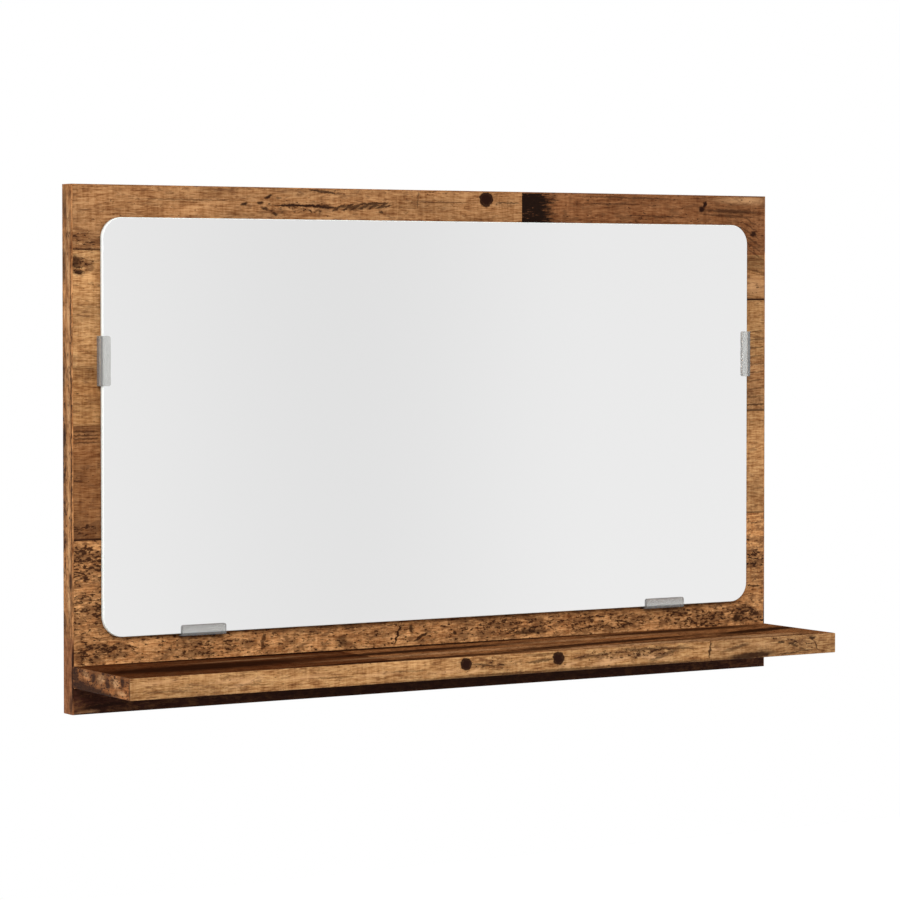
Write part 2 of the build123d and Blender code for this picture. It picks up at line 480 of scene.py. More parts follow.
        # Length and width in millimetres, weight of the density, where a spot starts and is
        # full, and its depth: flecks, then smudges
        for length, width, share, start, end, depth in (
            (4.2, 1.8, 0.17, 0.66, 0.74, 0.95), (9.0, 4.2, 0.2, 0.56, 0.74, 0.75),
        ):
            spots = self.fibre_noise(tree, at, length, width, 3.0, 0.7)
            crowded = add_node(tree, "Math", {0: thick, 1: share, 2: spots},
                               operation="MULTIPLY_ADD").outputs[0]
            masks.append(add_node(tree, "MapRange", {
                "Value": crowded, "From Min": start, "From Max": end, "To Max": depth,
            }).outputs[0])
        return tuple(masks)

    def marked(self, tree: Tree, at: Socket) -> tuple:
        """Draws the single marks. Their outlines wander by up to a millimetre.

        The place is turned to a mark's slant, moved to its middle and divided by its half
        sizes. The length of what comes out is 1 on the rim of the mark's ellipse and 0 in
        its middle. Marks of one slant share the turned place.

        Args:
            tree: the material's tree.
            at: the place in millimetres.

        Returns:
            Masks of the dark marks (some being painted shade), the pale ones and the flecked
            fields.
        """
        wander = add_node(tree, "TexNoise", {"Vector": at, "Scale": 0.35, "Detail": 2.0}).outputs[1]
        wander = add_node(
            tree, "VectorMath", {0: wander, 1: (0.5, 0.5, 0.5)}, operation="SUBTRACT"
        ).outputs[0]
        wander = add_node(
            tree, "VectorMath", {0: wander, 1: WANDER}, operation="MULTIPLY"
        ).outputs[0]
        rough = add_node(tree, "VectorMath", {0: at, 1: wander}, operation="ADD").outputs[0]
        turned = {
            slant: add_node(
                tree, "VectorRotate", {"Vector": rough, "Angle": -math.radians(slant)},
                rotation_type="Z_AXIS"
            ).outputs[0]
            for slant in sorted({mark.slant for mark in self.marks})
        }
        masks: dict[str, object] = {"dark": 0.0, "pale": 0.0, "flecked": 0.0}
        nearest: object = 2.0
        for mark in self.marks:
            cos, sin = math.cos(math.radians(mark.slant)), math.sin(math.radians(mark.slant))
            middle = np.array([
                mark.along * cos + mark.across * sin, mark.across * cos - mark.along * sin,
                self.face,
            ])
            half = np.array([mark.length / 2, mark.width / 2, MARK_REACH])
            here = add_node(
                tree, "VectorMath", {0: turned[mark.slant], 1: 1 / half, 2: -middle / half},
                operation="MULTIPLY_ADD",
            ).outputs[0]
            away = add_node(tree, "VectorMath", {0: here}, operation="LENGTH").outputs["Value"]
            if mark.kind is MarkKind.KNOT:
                nearest = add_node(tree, "Math", {0: away, 1: nearest},
                                   operation="MINIMUM").outputs[0]
                continue
            start, end = mark.kind.value
            strength = add_node(tree, "MapRange", {
                "Value": away, "From Min": start, "From Max": end, "To Max": mark.depth,
            }).outputs[0]
            key = {MarkKind.PALE: "pale", MarkKind.FLECKED: "flecked"}.get(mark.kind, "dark")
            masks[key] = add_node(
                tree, "Math", {0: strength, 1: masks[key]}, operation="MAXIMUM"
            ).outputs[0]
        rings = add_node(tree, "ValToRGB", {0: nearest})
        fill_ramp(rings, (
            (0.0, "#FFFFFF"), (0.55, "#FFFFFF"), (0.7, "#F8F8F8"), (0.85, "#FFFFFF"),
            (1.0, "#000000"),
        ))
        masks["dark"] = add_node(
            tree, "Math", {0: rings.outputs[0], 1: masks["dark"]}, operation="MAXIMUM"
        ).outputs[0]
        return masks["dark"], masks["pale"], masks["flecked"]

    def coloured(self, tree: Tree, planks: dict, fibres: Socket,
                 broad: Socket, pale: object) -> Socket:
        """Colours the planks: each plank's tone times the fibres' light and dark.

        Args:
            tree: the material's tree.
            planks: the sockets from planks().
            fibres: the fibres' tone.
            broad: the clouds' tone.
            pale: the mask of the pale marks.

        Returns:
            The colour.
        """
        spread = FIBRE_SPREAD / self.contrast
        even = add_node(tree, "MapRange", {
            "Value": fibres, "From Min": 0.5 - spread, "From Max": 0.5 + spread,
        }).outputs[0]
        tint = add_node(tree, "ValToRGB", {0: even})
        fill_ramp(tint, (
            (0.0, "#7C6050"), (0.25, "#B5A193"), (0.5, "#DDD3CA"), (0.8, "#FFFFFF"),
            (1.0, "#FFFFFF"),
        ))
        colour = add_node(
            tree, "VectorMath", {0: planks["colour"], 1: tint.outputs[0]}, operation="MULTIPLY"
        ).outputs[0]
        cloud = add_node(tree, "MapRange", {
            "Value": broad, "From Min": 0.3, "From Max": 0.7, "To Min": 1.1, "To Max": 1.6,
        }).outputs[0]
        colour = add_node(tree, "VectorMath", {0: colour, 3: cloud}, operation="SCALE").outputs[0]
        return add_node(tree, "Mix", {
            FACTOR: pale, COLOUR_A: colour, COLOUR_B: linear("#C3966A"),
        }, data_type="RGBA").outputs[COLOUR_OUT]

    def scorched(self, tree: Tree, at: Socket, beyond: Socket,
                 colour: Socket) -> Socket:
        """Blackens the start of a plank. The patch is sharp at the joint and ragged past it.

        Args:
            tree: the material's tree.
            at: the place in millimetres.
            beyond: the way past the planks' joint.
            colour: the colour so far.

        Returns:
            The colour with the scorched patch.
        """
        start, end, foot = self.char
        rag = self.fibre_noise(tree, at, 9.0, 1.4, 4.0, 0.75)
        reach = add_node(tree, "Math", {
            0: rag, 1: SCORCH_RAG, 2: end - start - SCORCH_RAG / 2,
        }, operation="MULTIPLY_ADD").outputs[0]
        left = add_node(tree, "Math", {0: reach, 1: beyond}, operation="SUBTRACT").outputs[0]
        burnt = add_node(tree, "MapRange", {
            "Value": left, "From Min": SCORCH_FADE[0], "From Max": SCORCH_FADE[1],
        }).outputs[0]
        across = add_node(tree, "SeparateXYZ", {0: at}).outputs[1]
        for value, limit in ((beyond, 0.0), (across, foot)):
            inside = add_node(tree, "Math", {0: value, 1: limit},
                              operation="GREATER_THAN").outputs[0]
            burnt = add_node(tree, "Math", {0: burnt, 1: inside}, operation="MULTIPLY").outputs[0]
        ember = add_node(tree, "ValToRGB", {0: rag})
        fill_ramp(ember, (
            (0.3, "#6A452E"), (0.38, "#1C0D06"), (0.58, "#120804"), (0.66, "#2A170D"),
            (0.74, "#7A5138"),
        ))
        return add_node(tree, "Mix", {
            FACTOR: burnt, COLOUR_A: colour, COLOUR_B: ember.outputs[0],
        }, data_type="RGBA").outputs[COLOUR_OUT]

    def cored(self, tree: Tree, at: Socket,
              colour: Socket) -> Socket:
        """Shows raw chipboard between the two faces, in bores and milled pockets.

        Args:
            tree: the material's tree.
            at: the place in millimetres.
            colour: the decor's colour.

        Returns:
            The colour of decor and core together.
        """
        low, high = self.core
        out = add_node(tree, "SeparateXYZ", {0: at}).outputs[2]
        inside = add_node(tree, "Math", {
            0: out, 1: (low + high) / 2, 2: (high - low) / 2,
        }, operation="COMPARE").outputs[0]
        chips = add_node(tree, "TexVoronoi", {"Vector": at, "Scale": 0.7}).outputs["Color"]
        chip = add_node(tree, "SeparateXYZ", {0: chips}).outputs[0]
        wood = add_node(tree, "ValToRGB", {0: chip})
        fill_ramp(wood, ((0.0, "#8E6B48"), (0.5, "#B8936A"), (1.0, "#D4B48A")))
        return add_node(tree, "Mix", {
            FACTOR: inside, COLOUR_A: colour, COLOUR_B: wood.outputs[0],
        }, data_type="RGBA").outputs[COLOUR_OUT]


# Glass, plastic and metal


def fine_grained(name: str, per_metre: float, detail: float, relief: tuple[float, float],
                 shader: dict, tones: tuple[str, str] | None = None,
                 swing: tuple[float, float] | None = None) -> Material:
    """Makes a material whose fine grain shows in its skin, and in its colour if it has tones.

    Args:
        name: the material's name.
        per_metre: how many grains a metre holds.
        detail: how many finer layers the grain has.
        relief: strength of its bump, and its height in millimetres.
        shader: the shader's own inputs.
        tones: the darker and the lighter tone between which the grain runs.
        swing: the roughness at the grain's darkest and at its lightest.

    Returns:
        The material.
    """
    material, tree = new_material(name)
    spot = add_node(tree, "TexCoord").outputs["Object"]
    grain = add_node(
        tree, "TexNoise", {"Vector": spot, "Scale": per_metre, "Detail": detail}
    ).outputs[0]
    strength, rise = relief
    bump = add_node(tree, "Bump", {"Strength": strength, "Distance": rise * MM, "Height": grain})
    inputs = {**shader, "Normal": bump.outputs[0]}
    if tones:
        colour = add_node(tree, "ValToRGB", {0: grain})
        fill_ramp(colour, tuple(zip((0.3, 0.7), tones)))
        inputs["Base Color"] = colour.outputs[0]
    if swing:
        rough = add_node(tree, "MapRange", {"Value": grain, "To Min": swing[0], "To Max": swing[1]})
        inputs["Roughness"] = rough.outputs[0]
    finish_surface(tree, add_node(tree, "BsdfPrincipled", inputs))
    return material


@dataclass(frozen=True)
class MirrorSilver:
    """Silvered float glass seen from the front.

    The eye gets a clean, neutral reflection that is a little darker than what it shows.
    """

    name: str = "silvered_float_glass"
    tone: str = "#F0F0F0"
    roughness: float = 0.015

    def material(self) -> Material:
        """Builds the material and returns it."""
        material, tree = new_material(self.name)
        shader = add_node(tree, "BsdfPrincipled", {
            "Base Color": linear(self.tone), "Metallic": 1.0, "Roughness": self.roughness,
        })
        finish_surface(tree, shader)
        return material


@dataclass(frozen=True)
class GroundEdge:
    """The pane's edge, cut, ground and polished dull: pale, with a breath of green.

    The grit is drawn about a millimetre wide, coarser than it is, so that it shows.
    """

    name: str = "ground_glass_edge"
    grit_per_metre: float = 900.0

    def material(self) -> Material:
        """Builds the material and returns it."""
        return fine_grained(
            self.name, self.grit_per_metre, 3.0, (0.15, 0.05), {"Roughness": 0.35, "IOR": 1.52},
            tones=("#D3DDD9", "#EEF2F0"),
        )


@dataclass(frozen=True)
class Coating:
    """A matt paint or film with a fine grain, such as the pane's backing.

    Attributes:
        name: the material's name.
        dark: its darker tone.
        light: its lighter tone.
        grain: size of its mottling, in millimetres.
        roughness: how matt it is.
    """

    name: str
    dark: str
    light: str
    grain: float
    roughness: float

    def material(self) -> Material:
        """Builds the material and returns it."""
        return fine_grained(
            self.name, PER_METRE / self.grain, 4.0, (0.1, 0.05), {"Roughness": self.roughness},
            tones=(self.dark, self.light),
        )


@dataclass(frozen=True)
class ClearMoulding:
    """Clear moulded plastic with a satin skin, grey where it is thick."""

    name: str = "clear_moulded_plastic"
    tone: str = "#ECECEA"
    roughness: float = 0.16
    clearness: float = 0.84
    ripples_per_metre: float = 400.0

    def material(self) -> Material:
        """Builds the material and returns it."""
        return fine_grained(self.name, self.ripples_per_metre, 2.0, (0.08, 0.1), {
            "Base Color": linear(self.tone), "Roughness": self.roughness, "IOR": 1.49,
            "Transmission Weight": self.clearness,
        })


@dataclass(frozen=True)
class ZincPlate:
    """Zinc-plated steel: satin metal with faint cloudy spangle.

    Attributes:
        name: the material's name.
        dark: the metal's darker tone.
        light: its lighter tone.
        spangle: size of the clouds, in millimetres.
        roughness: its middle roughness.
    """

    name: str
    dark: str
    light: str
    spangle: float
    roughness: float

    def material(self) -> Material:
        """Builds the material and returns it."""
        return fine_grained(
            self.name, PER_METRE / self.spangle, 5.0, (0.08, 0.05), {"Metallic": 1.0},
            tones=(self.dark, self.light), swing=(self.roughness - 0.1, self.roughness + 0.12),
        )


@dataclass(frozen=True)
class BeechTurning:
    """Plain beech, planed round: pale and even, with short darker rays along it."""

    name: str = "plain_beech"

    def material(self) -> Material:
        """Builds the material and returns it."""
        material, tree = new_material(self.name)
        spot = add_node(tree, "TexCoord").outputs["Object"]
        rays = add_node(tree, "Mapping",
                        {"Vector": spot, "Scale": (1800.0, 150.0, 1800.0)}).outputs[0]
        rays = add_node(tree, "TexNoise", {"Vector": rays, "Scale": 1.0, "Detail": 3.0}).outputs[0]
        colour = add_node(tree, "ValToRGB", {0: rays})
        fill_ramp(colour, ((0.3, "#B98E5F"), (0.6, "#D9B78A")))
        shader = add_node(tree, "BsdfPrincipled",
                          {"Base Color": colour.outputs[0], "Roughness": 0.6})
        finish_surface(tree, shader)
        return material


# Meshes


def mesh_piece(name: str, points: np.ndarray, faces: Iterable[Sequence[int]]) -> Piece:
    """Makes an object from points in the frame and faces.

    Args:
        name: the piece's name.
        points: an array of shape (n, 3), in metres.
        faces: rings of point numbers, anticlockwise from outside.

    Returns:
        The object, linked to the scene, at the origin.
    """
    mesh = bpy.data.meshes.new(name)
    mesh.from_pydata(points.tolist(), [], [list(face) for face in faces])
    mesh.update()
    piece = bpy.data.objects.new(name, mesh)
    bpy.context.scene.collection.objects.link(piece)
    return piece


def grid_faces(rows: int, columns: int, closed: bool) -> np.ndarray:
    """Numbers the quads of a grid of points.

    Point (i, j) is number i * columns + j, and its quad takes (i, j), (i + 1, j),
    (i + 1, j + 1) and (i, j + 1), with j + 1 counted round when the rows close.

    Args:
        rows: how many rows of points there are.
        columns: how many points a row has.
        closed: whether each row closes on itself.

    Returns:
        An array of shape (quads, 4).
    """
    i, j = np.meshgrid(np.arange(rows - 1), np.arange(columns if closed else columns - 1),
                       indexing="ij")
    after = (j + 1) % columns
    corners = (i * columns + j, (i + 1) * columns + j, (i + 1) * columns + after,
               i * columns + after)
    return np.stack([corner.ravel() for corner in corners], axis=1)


def dress(piece: Piece, *materials: Material) -> None:
    """Gives a piece its materials, in slot order."""
    piece.data.materials.clear()
    for material in materials:
        piece.data.materials.append(material)


@dataclass
class BackBoard:
    """The wall board and the edge banding on its four edges.

    Attributes:
        width: the board's width with its banding.
        height: its height.
        joint: where the two planks of the top row meet.
        top_row: the foot of that row.
        scorched_end: how far to the right its scorched patch reaches.
        honey: the left one of those planks.
        russet: the right one, which goes on over the top edge.
    """

    width: float = 600.0
    height: float = 370.0
    joint: float = 72.3
    top_row: float = 138.8
    scorched_end: float = 97.0
    honey: Plank = Plank("#926C48", 0.08, 0.0)
    russet: Plank = Plank("#764F32", 0.3, 310.0)

    def rows(self) -> tuple[PlankRow, ...]:
        """The front's rows of planks, from the foot upwards."""
        # The lowest row, under the shelf, is dark partly from its print and partly as painted shade
        dark_print_and_shade = Plank("#351C14", 0.4, 540.0)
        mottled = Plank("#B48557", 0.6, 90.0)
        spotted = Plank("#B08255", 0.5, 470.0)
        ruddy = Plank("#7A5434", 0.2, 170.0)
        smooth = Plank("#A17A51", 0.0, 620.0)
        lined = Plank("#8E6943", 0.15, 230.0)
        ringed = Plank("#96704B", 0.15, 760.0)
        fair = Plank("#A17B52", 0.05, 410.0)
        plain = Plank("#9B764E", 0.1, 860.0)
        warm = Plank("#926B45", 0.1, 930.0)
        return (
            PlankRow(-self.height / 2, 0.0, dark_print_and_shade, dark_print_and_shade),
            PlankRow(-166.5, 40.0, mottled, spotted),
            PlankRow(-63.6, -60.0, ruddy, smooth, (1.0, 0.55)),
            PlankRow(16.6, 70.0, lined, ringed, (0.25, 0.8)),
            PlankRow(57.0, 70.0, fair, plain, (0.3, 0.0)),
            PlankRow(103.4, -30.0, fair, warm, (0.0, 1.0)),
            PlankRow(self.top_row, self.joint, self.honey, self.russet, (0.75, 0.0)),
        )

    def marks(self) -> tuple[Mark, ...]:
        """The front's knots, cracks and stains where the photograph shows them, and painted shade
        under the shelf.
        """
        knot, crack, stain_and_shade, flecked, pale = (kind.at for kind in MarkKind)
        top = (
            crack(-212, 175.2, 110, 1.5, 0, 0.4),
            stain_and_shade(-163.7, 172.9, 8, 3.4, 18, 0.95),
            stain_and_shade(-151, 173.6, 7, 3, 12, 0.9),
            stain_and_shade(-144.4, 178.1, 9, 3.4, 25, 0.95),
            stain_and_shade(-136, 177.3, 7, 2.4, 0, 0.6),
            stain_and_shade(-147.3, 169.5, 8, 2.8, -5, 0.85),
            stain_and_shade(-139, 165.8, 8, 3, -20, 0.85),
            crack(-118, 172.2, 58, 2.2, 0, 0.95),
            crack(-100, 171.4, 40, 1.8, -2, 0.9),
            flecked(-118, 170, 90, 14, 0, 0.75),
            *dashes(crack(-86, 171, 15, 2.4, 26, 0.85), (7.3, 0.4), 6),
            *dashes(crack(-83, 171.6, 12, 1.8, 14, 0.8), (9.1, 0.2), 5),
            stain_and_shade(-66, 171.6, 44, 4.4, 6, 0.55),
            crack(-57, 174.4, 34, 2.2, 2, 0.85),
            stain_and_shade(-50, 168, 6, 2.6, -20, 0.8),
            crack(-100, 182.6, 34, 2.4, -6.8, 0.8),
            crack(-18.9, 177.5, 16, 1.2, 84, 0.55),
            stain_and_shade(-8.5, 184.6, 18, 3, 0, 0.9),
            crack(1.2, 176.2, 70, 1.3, 0, 0.5),
            knot(40.5, 178.8, 12.6, 12.2),
            crack(60, 176.5, 26, 1.6, -1, 0.7),
            crack(170, 182, 110, 1.6, -0.6, 0.55),
            crack(150, 177, 90, 1.4, 0.5, 0.45),
            crack(200, 168, 70, 1.8, -1, 0.5),
            stain_and_shade(238.3, 174.2, 8, 6.4, 0, 1),
            stain_and_shade(241.6, 177.8, 8, 4, 60, 1),
            crack(268, 172.8, 68, 3.4, -1.5, 0.6),
            crack(262, 169.2, 70, 2.4, -2.5, 0.5),
            pale(280, 181.5, 70, 9, 0, 0.6),
        )
        left = (
            stain_and_shade(-297, 131, 9, 12, 0, 0.8),
            stain_and_shade(-294.5, 123.5, 10, 4, 0, 0.9),
            flecked(-290, 145, 34, 22, 0, 0.7),
            flecked(-292, 128, 24, 20, 0, 0.95),
            *dashes(crack(-290, 12.6, 30, 1.6, 0, 0.6), (0, -2.6), 4),
            crack(-296, -21.8, 12, 1.6, 0, 0.6),
            flecked(-290, -56, 40, 18, 0, 0.9),
            flecked(-290, -80, 60, 48, 0, 1.15),
            flecked(-290, -110, 60, 40, 0, 0.95),
            flecked(-285, -142, 64, 22, 0, 1),
        )
        right = (
            stain_and_shade(288.3, 155.3, 7, 6.4, 0, 0.95),
            *dashes(crack(284, 166, 26, 1.7, -28, 0.5), (1, -5.2), 6),
            *dashes(crack(290, 135, 24, 1.8, -10, 0.45), (0, -4.2), 3),
            stain_and_shade(288, 132.5, 60, 13, 0, 0.3),
            pale(288, 114.5, 40, 19, 0, 0.5),
            *dashes(crack(290, 79, 26, 1.5, 4, 0.45), (0, -6.4), 9),
            crack(290, 21.7, 26, 2, 0, 0.7),
            stain_and_shade(288.2, -13.6, 10, 4, 0, 0.35),
            flecked(292, -100.5, 30, 28, 0, 1.1),
            crack(290, -121.2, 14, 2, 0, 0.8),
            flecked(283, -142, 50, 24, -20, 1.2),
        )
        foot = (
            flecked(-268, -142, 50, 20, 0, 1.1),
            flecked(-190, -143.5, 140, 22, 0, 0.85),
            crack(-149.2, -141.5, 17, 3.4, 84, 0.7),
            stain_and_shade(-84.7, -144.5, 13, 11, 0, 0.5),
            crack(-36.3, -141.8, 22, 2.2, 69, 0.95),
            stain_and_shade(-24.7, -138.9, 6, 9, 0, 0.9),
            crack(-16.5, -144.9, 17, 3, 26, 0.9),
            stain_and_shade(12.7, -143.5, 5, 4.2, 0, 0.9),
            flecked(60, -141.5, 170, 24, 0, 0.95),
            stain_and_shade(77, -146.4, 40, 4.6, 0, 0.75),
            flecked(150, -142, 140, 26, 0, 0.95),
            flecked(235, -143, 130, 26, 0, 1.05),
            stain_and_shade(272.4, -146, 10, 9, 0, 0.9),
        )
        under = (
            # painted shade: a wide dark patch over the whole strip under the shelf
            stain_and_shade(10, -176, 580, 34, 0, 0.75),
            crack(-277, -179.6, 44, 3, 5, 0.9),
            pale(-289, -183.4, 24, 3.4, 3, 0.4),
        )
        return top + left + right + foot + under

    def dress(self) -> None:
        """Dresses the board and its banding."""
        front = -BOARD
        board = ReclaimedDecor(
            "melamine_board_reclaimed_decor", Grain.FRONT, self.rows(), self.marks(),
            face=front, char=(self.joint, self.scorched_end, self.top_row),
            core=(front + 0.1, -0.1),
        )
        level = Plank("#8E6540", 0.15, 40.0)
        # The bottom edge takes the dark of the strip under the shelf, partly print and partly
        # painted shade
        bottom_dark_print_and_shade = Plank("#2E1A10", 0.4, 540.0)
        brown, honey = Plank("#84583A", 0.2, 250.0), Plank("#9C7048", 0.4, 0.0)
        half = self.width / 2
        edges = {
            "top": ReclaimedDecor(
                "edge_band_top_decor", Grain.TOP,
                (PlankRow(-BOARD, self.joint, level, self.russet),), contrast=0.9,
            ),
            "bottom": ReclaimedDecor(
                "edge_band_bottom_decor", Grain.TOP, (PlankRow(-BOARD, 0.0, bottom_dark_print_and_shade, bottom_dark_print_and_shade),),
            ),
        }
        for side, face in (("left", -half), ("right", half)):
            edges[side] = ReclaimedDecor(
                f"edge_band_{side}_decor", Grain.UPRIGHT, (PlankRow(-BOARD, -132.0, brown, honey),),
                marks=self.band_marks(), face=face, contrast=1.1,
            )
        dress(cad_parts["back_panel"], board.material())
        for side, decor in edges.items():
            dress(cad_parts[f"panel_band_{side}"], decor.material())

    def band_marks(self) -> tuple[Mark, ...]:
        """The upright banding's patches, along its height and then across its thickness."""
        _, crack, stain_and_shade, flecked, pale = (kind.at for kind in MarkKind)
        return (
            crack(28, -13.8, 320, 1.6, 0, 0.95),
            crack(-158, -14.8, 54, 3.4, 0, 0.95),
            stain_and_shade(172, -4, 30, 9, 0, 0.5),
            stain_and_shade(128, -3, 34, 6, 0, 0.55),
            stain_and_shade(52, -2, 32, 6, 0, 0.6),
            stain_and_shade(10, -3, 22, 6, 0, 0.75),
            flecked(-20, -3, 240, 9, 0, 1),
            stain_and_shade(-92, -12, 16, 6, 0, 0.8),
            stain_and_shade(-120, -2, 14, 7, 0, 0.6),
            stain_and_shade(-178, -12, 20, 6, 0, 0.7),
            *dashes(pale(158, -9.6, 38, 6, 4, 0.9), (-33, 0), 9),
            *dashes(pale(141, -4.6, 18, 4, -8, 0.6), (-46, 0.3), 6),
        )


@dataclass
class ShelfBoard:
    """The shelf along the board's foot, with banding on its front and ends.

    Attributes:
        half: half its width with the banding.
        front: where its front face stands along Y.
        top: the height of its upper face.
        underside: the height of its lower face.
    """

    half: float = 300.0
    front: float = -105.0
    top: float = -151.0
    underside: float = -166.0

    def dress(self) -> None:
        """Dresses the shelf and its banding."""
        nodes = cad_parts
        knot, crack, stain_and_shade, flecked, pale = (kind.at for kind in MarkKind)
        dusk, tan = Plank("#522C15", 0.5, 150.0), Plank("#8C5D38", 0.6, 700.0)
        board = ReclaimedDecor(
            "melamine_shelf_reclaimed_decor", Grain.TOP, (PlankRow(self.front, -90.0, dusk, tan),),
            marks=(
                # painted shade: a dark band along the back, where the shelf meets the board
                stain_and_shade(-60, -16, 560, 26, 0, 0.95),
                stain_and_shade(-225, -64, 250, 46, 2, 0.85),
                pale(-170, -40, 150, 12, 3, 0.3),
                stain_and_shade(-40, -50, 250, 22, 4, 0.85),
                pale(-30, -72, 260, 18, 3, 0.45),
                stain_and_shade(-70, -98, 260, 16, 2, 0.8),
                stain_and_shade(110, -74, 250, 18, 7, 0.85),
                pale(110, -44, 230, 16, 2, 0.4),
                pale(130, -95, 250, 20, 0, 0.75),
                stain_and_shade(200, -28, 220, 22, 2, 0.8),
                pale(235, -92, 110, 24, 0, 0.75),
                stain_and_shade(262, -58, 130, 24, 12, 0.9),
                stain_and_shade(150, -86, 130, 7, 3, 0.7),
                stain_and_shade(205, -80, 120, 6, 5, 0.65),
                stain_and_shade(40, -90, 120, 8, 4, 0.7),
                crack(262, -101, 70, 4, 3, 0.6),
            ),
            face=self.top, contrast=1.6, gloss=0.0, core=(self.underside + 0.1, self.top - 0.1),
        )
        straw, amber = Plank("#9F7A51", 0.1, 80.0), Plank("#9C7851", 0.15, 520.0)
        front = ReclaimedDecor(
            "edge_band_shelf_front_decor", Grain.FRONT,
            (PlankRow(self.underside, 181.6, straw, amber),),
            marks=(
                knot(-33.3, -156.2, 10.6, 10),
                pale(-27, -161.6, 16, 3.6, 12, 0.8),
                crack(-18, -157.6, 26, 2.4, -8, 0.7),
                knot(46, -156.4, 11, 10.4),
                pale(55, -161.4, 22, 3.4, 10, 0.7),
                crack(30, -157.4, 30, 3, 3, 0.7),
                crack(74, -156.4, 40, 2.2, 4, 0.55),
                crack(181.6, -158, 17, 2, 80, 0.85),
                stain_and_shade(248.5, -155.4, 8, 2.8, 0, 0.8),
                stain_and_shade(260, -157.6, 11, 3.4, -20, 0.75),
                stain_and_shade(269, -161.6, 9, 2.6, -20, 0.6),
                stain_and_shade(277.9, -153.6, 9, 4, 0, 0.9),
                crack(281, -158.5, 14, 1.6, -60, 0.7),
                crack(262, -163.6, 46, 1.8, 4, 0.6),
                *dashes(crack(112, -153.6, 24, 2.4, -6, 0.6), (15, -0.4), 4),
                flecked(110, -156, 130, 12, 0, 0.85),
                flecked(262, -156, 60, 8, -8, 0.8),
                flecked(-10, -157, 60, 12, 0, 0.7),
                stain_and_shade(30, -152.8, 36, 3, 0, 0.45),
                pale(92, -161, 44, 6, 8, 0.8),
                pale(128, -160, 40, 5, -10, 0.75),
                stain_and_shade(143, -158, 46, 4, 18, 0.6),
                stain_and_shade(205, -157.4, 34, 3.6, 12, 0.5),
                stain_and_shade(220, -164, 60, 7, 3, 0.9),
                # painted shade along the front's rounded lower edge
                stain_and_shade(60, -165.4, 420, 4, 0, 0.6),
                pale(-211, -158.6, 34, 5, 14, 0.75),
                *dashes(pale(-280, -155, 44, 4, 3, 0.45), (58, -1.4), 5),
                *dashes(pale(90, -159.6, 34, 3, -4, 0.5), (47, 1.2), 4),
                *dashes(crack(-270, -161.4, 40, 1.6, -2, 0.4), (63, 1), 4),
            ),
            face=self.front,
        )
        mottled, dark = Plank("#8E5E38", 0.8, 30.0), Plank("#5E3A24", 0.5, 400.0)
        ends = ReclaimedDecor(
            "edge_band_shelf_end_decor", Grain.TO_WALL,
            (PlankRow(self.underside, -10.0, mottled, dark),),
            marks=(
                # darker along the end's lower edge
                stain_and_shade(-46, -165.5, 116, 11, 5, 0.9),
                stain_and_shade(-19, -156, 14, 18, 0, 0.8),
                pale(-36, -154.6, 15, 7, 20, 0.8),
                stain_and_shade(-48, -156, 7, 11, 20, 0.85),
                pale(-60, -155.4, 17, 9, -15, 0.9),
                stain_and_shade(-70, -158, 9, 8, 30, 0.8),
                pale(-82, -156, 17, 10, 10, 0.9),
                stain_and_shade(-93, -155, 8, 9, -20, 0.85),
                pale(-92, -162.4, 18, 4.6, 5, 0.8),
                stain_and_shade(-104, -159, 5, 14, 0, 0.9),
            ),
            face=-self.half,
        )
        dress(nodes["shelf_board"], board.material())
        dress(nodes["shelf_band_front"], front.material())
        end_material = ends.material()
        for side in ("left", "right"):
            dress(nodes[f"shelf_band_{side}"], end_material)


